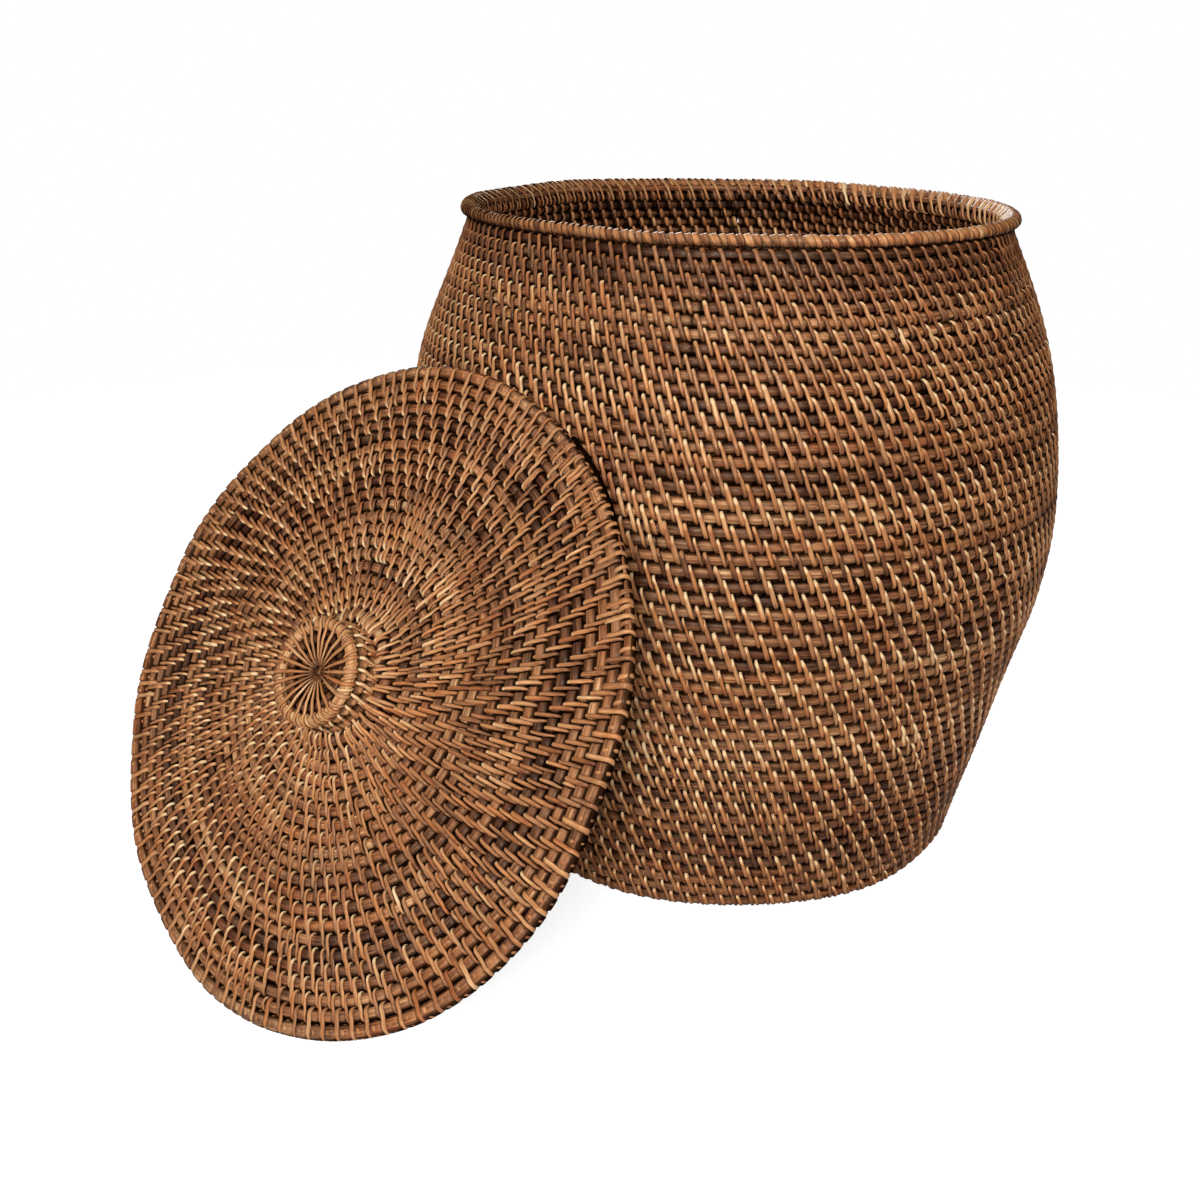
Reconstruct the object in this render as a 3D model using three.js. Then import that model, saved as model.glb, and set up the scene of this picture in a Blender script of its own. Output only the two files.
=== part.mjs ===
// A round lidded laundry basket of coiled cane, with its lid taken off and leaning on it.
// Millimetres, +Z up. The origin is the centre of the flat base, on the floor.
// The lid leans on the -Y side and faces -Y.
// Every course is one length of foundation cane, coiled in rows and bound to the row below it.
import * as THREE from 'three';

// Cane and binding
const cane_diameter = 8.4;
const binding_thickness = 0.9;
const row_groove_depth = 3.8;
const inside_groove_depth = 2.4;
const seam_gap = 0.3;

// Wall outline, over the binding
const base_radius = 185;
const flare_radius = 240;
const flare_height = 197;
const belly_radius = 248;
const belly_height = 262;
const shoulder_radius = 238.5;
const shoulder_height = 362;
const neck_radius = 200;
const neck_height = 471.5;

// Wall and base courses. The wall's rows are a little wider near the foot than near the rim
const wall_course_count = 13;
const rows_in_wall_course = 4;
const row_spread = 0.022;
const base_course_rows = [5, 5, 5, 4];

// Rim roll
const rim_outer_radius = 206;
const rim_roll_diameter = 10;
const rim_seat_depth = 2.2;

// Lid, measured in its own frame with the middle of its edge at height zero
const lid_radius = 217;
const lid_dome_rise = 9;
const lid_course_rows = [6, 5, 5, 5];
const lid_edge_diameter = 10;
const seat_ring_diameter = 8;
const seat_ring_clearance = 5;

// Knob
const knob_radius = 35;
const knob_coil_count = 2;
const knob_cap_thickness = 7;
const knob_groove_pitch = 9;

// How the lid stands
const lid_lean_angle = 29;
const lid_side_offset = -39;
const lean_clearance = 0.05;

// Facets
const wall_facets = 28;
const lid_facets = 28;
const roll_sides = 8;
const knob_roll_sides = 6;

// Sizes that follow from the ones above
const wall_thickness = cane_diameter + 2 * binding_thickness;
const rim_roll_radius = rim_roll_diameter / 2;
const lid_edge_radius = lid_edge_diameter / 2;
const lean = THREE.MathUtils.degToRad(lid_lean_angle);

const finishes = {
  cane: { color: 0x8a5a35, roughness: 0.55, metalness: 0 },
  binding: { color: 0xb07a48, roughness: 0.5, metalness: 0 },
  core: { color: 0x9c6b42, roughness: 0.7, metalness: 0 },
};

const total = (counts) => counts.reduce((sum, count) => sum + count, 0);

function piece(name, geometry, finish) {
  const mesh = new THREE.Mesh(geometry, new THREE.MeshStandardMaterial(finishes[finish]));
  mesh.name = name;
  return mesh;
}

// A solid turned about +Z from a closed outline of [radius, height] points, listed anticlockwise.
function turned(outline, facets) {
  const points = outline.map(([radius, height]) => new THREE.Vector2(radius, height));
  const closes_on_axis = outline[0][0] === 0;
  if (!closes_on_axis) points.push(points[0].clone());
  const geometry = new THREE.LatheGeometry(points, facets);
  geometry.rotateX(Math.PI / 2);
  return geometry;
}

function hoop(centre_radius, roll_radius, height, facets, sides = roll_sides) {
  const geometry = new THREE.TorusGeometry(centre_radius, roll_radius, sides, facets);
  geometry.translate(0, 0, height);
  return geometry;
}

// The wall's outer outline, from the floor to the neck
const wall_outline = new THREE.Path();
wall_outline.moveTo(base_radius, 0);
wall_outline.lineTo(flare_radius, flare_height);
wall_outline.splineThru([
  new THREE.Vector2(belly_radius, belly_height),
  new THREE.Vector2(shoulder_radius, shoulder_height),
  new THREE.Vector2(neck_radius, neck_height),
]);
const wall_length = wall_outline.getLength();
const wall_row_count = wall_course_count * rows_in_wall_course + 1;
const wall_pitch = wall_length / wall_row_count;

// The way up the outline to a row's upper edge
function rowWay(row) {
  const share = row / wall_row_count;
  return wall_length * (share + row_spread * Math.sin(Math.PI * share));
}

// The point that lies a given depth inside the wall, a given way up its outline
function wallPoint(way_up, depth) {
  const share = THREE.MathUtils.clamp(way_up / wall_length, 0, 1);
  const point = wall_outline.getPointAt(share);
  const tangent = wall_outline.getTangentAt(share);
  return [point.x - tangent.y * depth, point.y + tangent.x * depth];
}

// One side of a run of rows: a groove at each row's edge and a crown at its middle
function scalloped(first_row, row_count, place, groove_depth, last_depth = groove_depth) {
  const points = [];
  for (let row = first_row; row < first_row + row_count; row += 1) {
    const low = row === first_row ? seam_gap / 2 : 0;
    points.push(place(row, low, groove_depth));
    points.push(place(row + 0.5, 0, 0));
  }
  points.push(place(first_row + row_count, -seam_gap / 2, last_depth));
  return points;
}

function wallCourse(index) {
  const first_row = 1 + index * rows_in_wall_course;
  const rows = rows_in_wall_course;
  const outside = (row, shift, depth) => wallPoint(rowWay(row) + shift, depth);
  const inside = (row, shift, depth) => outside(row, shift, wall_thickness - depth);
  const carries_rim = index === wall_course_count - 1;
  const last_depth = carries_rim ? rim_seat_depth : row_groove_depth;
  const outer = scalloped(first_row, rows, outside, row_groove_depth, last_depth);
  const inner = scalloped(first_row, rows, inside, inside_groove_depth).reverse();
  const name = `wall_course_${String(index + 1).padStart(2, '0')}`;
  return piece(name, turned([...outer, ...inner], wall_facets), 'cane');
}

// The lowest row, flat where it stands on the floor
function footCoil() {
  const middle = rowWay(0.5);
  const top = rowWay(1) - seam_gap / 2;
  const outline = [
    [base_radius - wall_thickness, 0],
    [base_radius - row_groove_depth, 0],
    wallPoint(middle, 0),
    wallPoint(top, row_groove_depth),
    wallPoint(top, wall_thickness - inside_groove_depth),
    wallPoint(middle, wall_thickness),
  ];
  return piece('foot_coil', turned(outline, wall_facets), 'binding');
}

// The roll round the mouth, seated on the outer edge of the top row
function rimRoll() {
  const [edge_radius, edge_height] = wallPoint(wall_length, rim_seat_depth);
  const centre_radius = rim_outer_radius - rim_roll_radius;
  const reach = rim_roll_radius + seam_gap;
  const overhang = THREE.MathUtils.clamp(centre_radius - edge_radius, -reach, reach);
  const centre_height = edge_height + Math.sqrt(reach ** 2 - overhang ** 2);
  const roll = hoop(centre_radius, rim_roll_radius, centre_height, wall_facets);
  return piece('rim_roll', roll, 'binding');
}

// The base: flat underneath, with its rows showing on top
const base_outer_radius = base_radius - wall_thickness - seam_gap;
const base_pitch = base_outer_radius / total(base_course_rows);

function baseCourse(index) {
  const rows = base_course_rows[index];
  const first_row = total(base_course_rows.slice(0, index));
  const place = (row, shift, depth) => [row === 0 ? 0 : row * base_pitch + shift, wall_thickness - depth];
  const top = scalloped(first_row, rows, place, row_groove_depth).reverse();
  const under = [
    [top[top.length - 1][0], 0],
    [top[0][0], 0],
  ];
  return piece(`base_course_${index + 1}`, turned([...under, ...top], wall_facets), 'cane');
}

// The lid's upper face at a radius, in the lid's own frame
const lid_field_radius = lid_radius - lid_edge_diameter - seam_gap;
const knob_bore_radius = knob_radius - cane_diameter;

function lidTop(radius) {
  const share = (lid_field_radius - radius) / (lid_field_radius - knob_radius);
  return wall_thickness / 2 + lid_dome_rise * THREE.MathUtils.clamp(share, 0, 1);
}

const lid_pitch = (lid_field_radius - knob_bore_radius) / total(lid_course_rows);

function lidCourse(index) {
  const rows = lid_course_rows[index];
  const first_row = total(lid_course_rows.slice(0, index));
  const place = (row, shift, depth) => {
    const radius = knob_bore_radius + row * lid_pitch + shift;
    return [radius, lidTop(radius) - depth];
  };
  const top = scalloped(first_row, rows, place, row_groove_depth).reverse();
  const under = [
    place(first_row, seam_gap / 2, wall_thickness),
    place(first_row + rows, -seam_gap / 2, wall_thickness),
  ];
  return piece(`lid_course_${index + 1}`, turned([...under, ...top], lid_facets), 'cane');
}

// The ring under the lid that drops inside the mouth and keeps the lid centred
function seatRing() {
  const roll_radius = seat_ring_diameter / 2;
  const mouth_radius = neck_radius - wall_thickness;
  const centre_radius = mouth_radius - seat_ring_clearance - roll_radius;
  const underside = lidTop(centre_radius) - wall_thickness;
  const height = underside - roll_radius - seam_gap;
  return piece('lid_seat_ring', hoop(centre_radius, roll_radius, height, lid_facets), 'binding');
}

// The knob: coils stacked on the lid, a roll round its end, a cap inside the roll and a core
function knobPieces() {
  const roll_radius = cane_diameter / 2;
  const centre_radius = knob_radius - roll_radius;
  const step = cane_diameter + seam_gap;
  const lowest = lidTop(knob_radius) + seam_gap + roll_radius;
  const pieces = [];
  for (let index = 0; index < knob_coil_count; index += 1) {
    const height = lowest + index * step;
    const coil = hoop(centre_radius, roll_radius, height, lid_facets, knob_roll_sides);
    pieces.push(piece(`knob_coil_${index + 1}`, coil, 'binding'));
  }
  const end_height = lowest + knob_coil_count * step;
  const end_roll = hoop(centre_radius, roll_radius, end_height, lid_facets, knob_roll_sides);
  pieces.push(piece('knob_end_roll', end_roll, 'binding'));
  const plug_radius = knob_bore_radius - seam_gap;
  const cap_top = end_height + roll_radius;
  const cap_bottom = cap_top - knob_cap_thickness;
  const cap = [
    [0, cap_bottom],
    [plug_radius, cap_bottom],
    [plug_radius, cap_top - row_groove_depth],
    [plug_radius - knob_groove_pitch / 2, cap_top],
    [plug_radius - knob_groove_pitch, cap_top - row_groove_depth],
    [plug_radius - 1.5 * knob_groove_pitch, cap_top],
    [0, cap_top],
  ];
  pieces.push(piece('knob_cap', turned(cap, lid_facets), 'binding'));
  const core_top = cap_bottom - seam_gap;
  const core_bottom = lidTop(0) - wall_thickness;
  const core = [
    [0, core_bottom],
    [plug_radius, core_bottom],
    [plug_radius, core_top],
    [0, core_top],
  ];
  pieces.push(piece('knob_core', turned(core, lid_facets), 'core'));
  return pieces;
}

// How far the lid's centre stands from the basket's axis: its edge just clears the wall
function leanDistance() {
  const ring_radius = lid_radius - lid_edge_radius;
  const centre_height = ring_radius * Math.cos(lean) + lid_edge_radius;
  const samples = 400;
  const profile = [];
  for (let step = 0; step <= samples; step += 1) {
    profile.push(wallPoint((wall_length * step) / samples, 0));
  }
  const leastGap = (distance) => {
    let least = Infinity;
    for (let step = 0; step < samples; step += 1) {
      const turn = (Math.PI * step) / samples;
      const across = lid_side_offset + ring_radius * Math.cos(turn);
      const up = ring_radius * Math.sin(turn);
      const along = distance - up * Math.sin(lean);
      const height = centre_height + up * Math.cos(lean);
      const radius = Math.hypot(across, along);
      for (const [wall_radius, wall_height] of profile) {
        const gap = Math.hypot(radius - wall_radius, height - wall_height) - lid_edge_radius;
        const inside = radius < wall_radius && Math.abs(height - wall_height) < wall_pitch;
        least = Math.min(least, inside ? -gap : gap);
      }
    }
    return least;
  };
  let near = belly_radius;
  let far = belly_radius + 2 * lid_radius;
  for (let halving = 0; halving < 24; halving += 1) {
    const middle = (near + far) / 2;
    if (leastGap(middle) < lean_clearance) near = middle;
    else far = middle;
  }
  return far;
}

const basket = new THREE.Group();
for (let index = 0; index < base_course_rows.length; index += 1) basket.add(baseCourse(index));
basket.add(footCoil());
for (let index = 0; index < wall_course_count; index += 1) basket.add(wallCourse(index));
basket.add(rimRoll());

const lid = new THREE.Group();
for (let index = 0; index < lid_course_rows.length; index += 1) lid.add(lidCourse(index));
const lid_edge = hoop(lid_radius - lid_edge_radius, lid_edge_radius, 0, lid_facets);
lid.add(piece('lid_edge_hoop', lid_edge, 'binding'));
lid.add(seatRing());
knobPieces().forEach((knob_piece) => lid.add(knob_piece));
lid.rotation.x = Math.PI / 2 - lean;
const lid_centre_height = (lid_radius - lid_edge_radius) * Math.cos(lean) + lid_edge_radius;
lid.position.set(lid_side_offset, -leanDistance(), lid_centre_height);

const laundry_basket = new THREE.Group();
laundry_basket.add(basket, lid);
laundry_basket.updateMatrixWorld(true);

export default laundry_basket;
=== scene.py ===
"""A laundry basket of coiled cane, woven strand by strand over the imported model."""
import math

import bpy
import numpy as np
from mathutils import Matrix, Vector


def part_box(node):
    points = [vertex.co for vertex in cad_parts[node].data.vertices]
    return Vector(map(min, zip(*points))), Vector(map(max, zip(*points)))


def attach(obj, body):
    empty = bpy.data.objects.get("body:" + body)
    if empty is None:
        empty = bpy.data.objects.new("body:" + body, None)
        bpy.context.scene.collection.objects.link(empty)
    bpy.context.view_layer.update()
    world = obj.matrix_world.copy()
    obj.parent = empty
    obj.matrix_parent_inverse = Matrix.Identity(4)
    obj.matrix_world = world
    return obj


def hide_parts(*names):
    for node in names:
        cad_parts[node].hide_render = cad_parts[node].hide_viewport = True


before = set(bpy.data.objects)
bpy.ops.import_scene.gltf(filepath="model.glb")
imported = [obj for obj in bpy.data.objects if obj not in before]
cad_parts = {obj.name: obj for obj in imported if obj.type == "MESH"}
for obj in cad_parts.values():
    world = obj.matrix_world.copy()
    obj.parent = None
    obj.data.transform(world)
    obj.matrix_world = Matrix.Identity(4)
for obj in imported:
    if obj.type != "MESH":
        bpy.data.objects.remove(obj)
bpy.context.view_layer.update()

mm = 0.001
full_turn = 2 * math.pi

# Cane and binding, as in the part's source
cane_diameter = 8.4 * mm
binding_thickness = 0.9 * mm
wall_thickness = cane_diameter + 2 * binding_thickness
seam_gap = 0.3 * mm

# Wall outline over the binding, as in the part's source
base_radius = 185 * mm
flare = (240 * mm, 197 * mm)
belly = (248 * mm, 262 * mm)
shoulder = (238.5 * mm, 362 * mm)
neck = (200 * mm, 471.5 * mm)
wall_row_count = 53
row_spread = 0.022
rows_in_wall_course = 4
wall_course_count = 13
base_course_rows = [5, 5, 5, 4]
rim_roll_diameter = 10 * mm

# Lid and knob, as in the part's source
lid_lean_angle = math.radians(29)
lid_course_rows = [6, 5, 5, 5]
lid_dome_rise = 9 * mm
lid_edge_diameter = 10 * mm
lid_radius = 217 * mm
seat_ring_diameter = 8 * mm
seat_ring_clearance = 5 * mm
knob_radius = 35 * mm
knob_coil_count = 2

# How the weave is worked
row_gap = 1.15 * mm
strip_width = 3.0 * mm
strip_thickness = 1.35 * mm
neighbour_distance = 3.6 * mm
lid_neighbour_distance = 3.3 * mm
wall_slant = 5.2 * mm
lid_slant = -1.0 * mm
lid_strip_width = 2.6 * mm
radial_strip_width = 2.6 * mm
short_radial_strip_width = 2.2 * mm
back_slant = 4.6 * mm
largest_nudge = 0.9 * mm
slot_edge = 1.5 * mm
slot_rise = 2.4 * mm
narrow_block = 3.6 * mm
thinnest_end = 2.5 * mm
least_radius = 6 * mm
# Painted shadow beside strips where they nip a cane, and painted shade in a sunk face's slots
nip_shade = 0.95
slot_shade = 1.4
cord_overlap = 1.7 * mm
cord_thickness = 0.9 * mm
wrap_thickness = 1.0 * mm
rim_strip_width = 5.2 * mm
rim_strip_tilt = 0.36
radial_strip_count = 24
cane_nip = 0.24
jog_sector = math.radians(60)
wall_seam = math.radians(126)
lid_seam = math.radians(61)
lone_stitch_share = 0.012
stitch_jitter = 0.035
stitches_at_foot = 98
stitches_added_up_the_wall = 23

# How finely strands are cut
cane_steps = 720
cane_sides = 10
front_steps = 17
back_steps = 11
cord_steps = 240

rng = np.random.default_rng(31)


def smooth_step(x):
    x = np.clip(x, 0, 1)
    return x * x * (3 - 2 * x)


def near_start(share, reach):
    """1 where share is 0, and down to 0 where it comes to reach."""
    return smooth_step((reach - share) / reach)


def unit(vectors):
    return vectors / np.maximum(np.linalg.norm(vectors, axis=-1, keepdims=True), 1e-12)


def spline(points, steps=60):
    """A smooth curve through points: its tangent at each is half the way between the neighbours."""
    points = np.asarray(points, float)
    padded = np.vstack([points[:1], points, points[-1:]])
    t = np.linspace(0, 1, steps, endpoint=False)[:, None]
    parts = []
    for before, start, end, after in zip(padded, padded[1:], padded[2:], padded[3:]):
        leave = (end - before) / 2
        arrive = (after - start) / 2
        cubic = 2 * start - 2 * end + leave + arrive
        square = 3 * end - 3 * start - 2 * leave - arrive
        parts.append(cubic * t**3 + square * t**2 + leave * t + start)
    return np.vstack([*parts, points[-1:]])


def way_along(line):
    """The distance from a line's start to each of its points."""
    steps = np.linalg.norm(np.diff(line, axis=0), axis=1)
    return np.concatenate([[0], np.cumsum(steps)])


def resampled(line, count):
    """The same line with a given count of points, evenly spaced along it."""
    way = way_along(line)
    stations = np.linspace(0, way[-1], count)
    return np.stack([np.interp(stations, way, line[:, axis]) for axis in (0, 1)], axis=1)


def evenly(line, spacing):
    """The same line with points about a fixed distance apart."""
    return resampled(line, max(2, round(way_along(line)[-1] / spacing) + 1))


def linear(red, green, blue):
    """A colour read off as 0 to 255, as the shader wants it."""
    values = np.array([red, green, blue]) / 255
    values = np.where(values <= 0.04045, values / 12.92, ((values + 0.055) / 1.055) ** 2.4)
    return (*values, 1)


def placed(name, data):
    """A new object of this data, in the scene."""
    made = bpy.data.objects.new(name, data)
    bpy.context.scene.collection.objects.link(made)
    return made


def empty_tree(owner):
    """The node tree of a material or a world, with nothing in it."""
    owner.use_nodes = True
    owner.node_tree.nodes.clear()
    return owner.node_tree


def node(tree, kind, inputs=None, **settings):
    """A new shader node. inputs gives, by name or number, an input's value or the output it takes."""
    made = tree.nodes.new(kind)
    for key, value in settings.items():
        setattr(made, key, value)
    for key, value in (inputs or {}).items():
        if isinstance(value, bpy.types.NodeSocket):
            tree.links.new(value, made.inputs[key])
        else:
            made.inputs[key].default_value = value
    return made


tone_places = [0, 0.3, 0.55, 0.8, 1]


def cane_material(name, colours, roughness, fibre, tone_spread, woven=True):
    """Cane: a tone for each strand, streaks along its fibres, blotches, and painted shade down in the
    gaps.

    A solid that isn't woven from strands has its fibres along its own x axis, one tone and no painted
    shade."""
    material = bpy.data.materials.new(name)
    tree = empty_tree(material)

    def attribute(label, output):
        return node(tree, "ShaderNodeAttribute", attribute_name=label).outputs[output]

    def noise(scale, detail):
        stretched = node(tree, "ShaderNodeVectorMath", {0: grain, 1: scale}, operation="MULTIPLY")
        inputs = {"Vector": stretched.outputs[0], "Scale": 1, "Detail": detail, "Roughness": 0.55}
        return node(tree, "ShaderNodeTexNoise", inputs).outputs["Fac"]

    def combine(operation, *values):
        return node(tree, "ShaderNodeMath", dict(enumerate(values)), operation=operation).outputs[0]

    crevice_shade = attribute("crevice_shade", "Fac")
    if woven:
        grain = attribute("grain", "Vector")
        tone = attribute("tone", "Fac")
    else:
        grain = node(tree, "ShaderNodeTexCoord").outputs["Object"]
        tone = 0.5
    fibres = noise((60, 1900, 1900), 3)
    streaks = noise((22, 720, 720), 3)
    blotches = noise((45, 160, 160), 3)
    reddish = noise((7, 20, 20), 2)
    mixed = tone
    for pattern, share in ((streaks, 1.5), (fibres, 0.9), (blotches, 0.8)):
        mixed = combine("MULTIPLY_ADD", pattern, tone_spread * share, mixed)
    ramp = node(tree, "ShaderNodeValToRGB", {0: combine("SUBTRACT", mixed, tone_spread * 1.6)})
    elements = ramp.color_ramp.elements
    for place in tone_places[1:-1]:
        elements.new(place)
    for element, place, colour in zip(elements, tone_places, colours):
        element.position = place
        element.color = linear(*colour)
    tint = node(tree, "ShaderNodeHueSaturation", {
        "Hue": combine("MULTIPLY_ADD", reddish, -0.045, 0.521),
        "Saturation": combine("MULTIPLY_ADD", reddish, 0.4, 0.78),
        "Color": ramp.outputs[0],
    })
    # Painted shade: the colour is multiplied down towards near black where shade falls in the gaps
    painted_shade_share = combine("MULTIPLY", combine("POWER", crevice_shade, 1.15), 0.95)
    inputs = {0: painted_shade_share, 6: tint.outputs[0], 7: linear(24, 14, 9)}
    painted_shade = node(tree, "ShaderNodeMix", inputs, data_type="RGBA", blend_type="MULTIPLY")
    bump = node(tree, "ShaderNodeBump", {
        "Strength": fibre,
        "Distance": 0.35 * mm,
        "Height": combine("MULTIPLY_ADD", streaks, 1.4, fibres),
    })
    # The painted shade also takes the reflections away in the gaps
    shader = node(tree, "ShaderNodeBsdfPrincipled", {
        "Base Color": painted_shade.outputs[2],
        "Roughness": combine("MULTIPLY_ADD", streaks, 0.35, roughness - 0.17),
        "Specular IOR Level": combine("MULTIPLY_ADD", crevice_shade, -0.36, 0.36),
        "Specular Tint": (1, 0.84, 0.64, 1),
        "Normal": bump.outputs[0],
    })
    node(tree, "ShaderNodeOutputMaterial", {"Surface": shader.outputs[0]})
    return material


cane_colours = [(62, 35, 22), (110, 67, 41), (152, 98, 60), (186, 128, 80), (226, 176, 122)]
strip_colours = [(84, 50, 31), (136, 85, 52), (184, 122, 74), (214, 152, 96), (252, 212, 158)]
cane_finish = cane_material("foundation_cane", cane_colours, 0.42, 0.6, 1.0)
strip_finish = cane_material("binding_strip", strip_colours, 0.36, 0.4, 0.6)
core_finish = cane_material("core_cane", cane_colours, 0.5, 0.6, 1.0, woven=False)


class Ripple:
    """A slow wave in two directions that closes on itself round the axis."""

    def __init__(self, height, waves=7):
        self.height = height
        self.round = rng.integers(2, 12, waves)
        self.along = rng.normal(0, 55, waves)
        self.phase = rng.uniform(0, full_turn, waves)
        self.share = rng.uniform(0.4, 1, waves)
        self.share /= np.sqrt((self.share**2).sum() / 2)

    def __call__(self, angle, way):
        total = 0
        for turns, along, phase, share in zip(self.round, self.along, self.phase, self.share):
            total = total + share * np.sin(turns * angle + along * way + phase)
        return self.height * total


class Face:
    """A coiled face turned about its axis.

    way is the distance along the profile and lift the height over the canes' axes. One cane is
    coiled from the first row to the last, and steps up by a row in the sector before the seam.
    fill is the share of a stitch's spacing that its strip may cover, hook how far its end bends,
    neighbour the distance to the strip beside it, and twist how far a strip turns on edge at its head.
    nip is how deep strips nip the cane, as a share of it, and how far along it that reaches.
    ends is how much lighter a strip is painted at its head and at its tail (a painted highlight, or
    painted shade where below zero), slim the share of its width that it loses towards each, gap the
    groove between the canes of two rows, and crowd the most that a stitch stands off from the one in the
    row before, as a share of the stitches' spacing.
    sunk is how deep the tail half of a strip lies in a slot between two blocks of its own row,
    and square how square a cane is across: 1 is round, less is flatter on top.
    """

    outward = 1

    def __init__(
        self, profile, row_edges, slant, place=Matrix(), seam=wall_seam, waver=0.0, lumps=0.0,
        strip_width=strip_width, fill=0.34, hook=0.5 * mm, neighbour=neighbour_distance, twist=0.0,
        nip=(cane_nip, 1.8 * mm), ends=(0.42, -0.26), slim=(0.12, 0), gap=row_gap, crowd=0.6, sunk=0.0,
        square=0.78,
    ):
        self.slant = slant
        self.strip_width = strip_width
        self.fill = fill
        self.hook = hook
        self.neighbour = neighbour
        self.twist = twist
        self.nip, self.nip_reach = nip
        self.ends = ends
        self.slim = slim
        self.gap = gap
        self.crowd = crowd
        self.sunk = sunk
        self.square = square
        self.line = evenly(np.asarray(profile, float), 1 * mm)
        self.way = way_along(self.line)
        self.tangent = unit(np.gradient(self.line, axis=0))
        self.edges = np.asarray(row_edges, float)
        self.rows = len(row_edges) - 1
        self.place = np.array(place)
        self.seam = seam
        self.waver = Ripple(waver)
        self.lumps = Ripple(lumps)
        self.heads = {}

    def jog(self, angle):
        """How far the coil has stepped up to the next row, from 0 to 1."""
        along = np.mod(angle - self.seam, full_turn)
        return smooth_step((along - full_turn + jog_sector) / jog_sector)

    def edge(self, turn):
        """Where a turn of the coil ends along the profile."""
        return np.interp(turn, np.arange(self.rows + 1), self.edges)

    def span(self, row, angle):
        """The lower and upper edge of a row at an angle. Rows count from 1, and row 0 is the start."""
        turn = row + self.jog(angle)
        return self.edge(turn - 1), self.edge(turn)

    def radius_of(self, row, angle=0.0):
        """The radius of a row's middle at an angle."""
        return self.profile_at(sum(self.span(row, angle)) / 2)[0]

    def profile_at(self, way):
        """Radius, height and the profile's direction, carried on straight past both ends."""
        inner = np.clip(way, self.way[0], self.way[-1])
        past = way - inner
        tangent = [np.interp(inner, self.way, self.tangent[:, axis]) for axis in (0, 1)]
        radius = np.interp(inner, self.way, self.line[:, 0]) + past * tangent[0]
        height = np.interp(inner, self.way, self.line[:, 1]) + past * tangent[1]
        return radius, height, tangent[0], tangent[1]

    def directions(self, angle, way):
        """Unit vectors along the profile and out of the face."""
        _, _, along_r, along_z = self.profile_at(way)
        cos, sin = np.cos(angle), np.sin(angle)
        up = np.stack([along_r * cos, along_r * sin, along_z], axis=-1)
        out = np.stack([along_z * cos, along_z * sin, -along_r], axis=-1) * self.outward
        turn = self.place[:3, :3].T
        return up @ turn, out @ turn

    def point(self, angle, way, lift):
        way = way + self.waver(angle, way)
        lift = lift + self.lumps(angle, way)
        radius, height, along_r, along_z = self.profile_at(way)
        radius = radius + lift * along_z * self.outward
        height = height - lift * along_r * self.outward
        points = np.stack([radius * np.cos(angle), radius * np.sin(angle), height], axis=-1)
        return points @ self.place[:3, :3].T + self.place[:3, 3]


class FlatFace(Face):
    """A coiled face that is worked outwards from its middle, with its outside on top."""

    outward = -1


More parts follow.
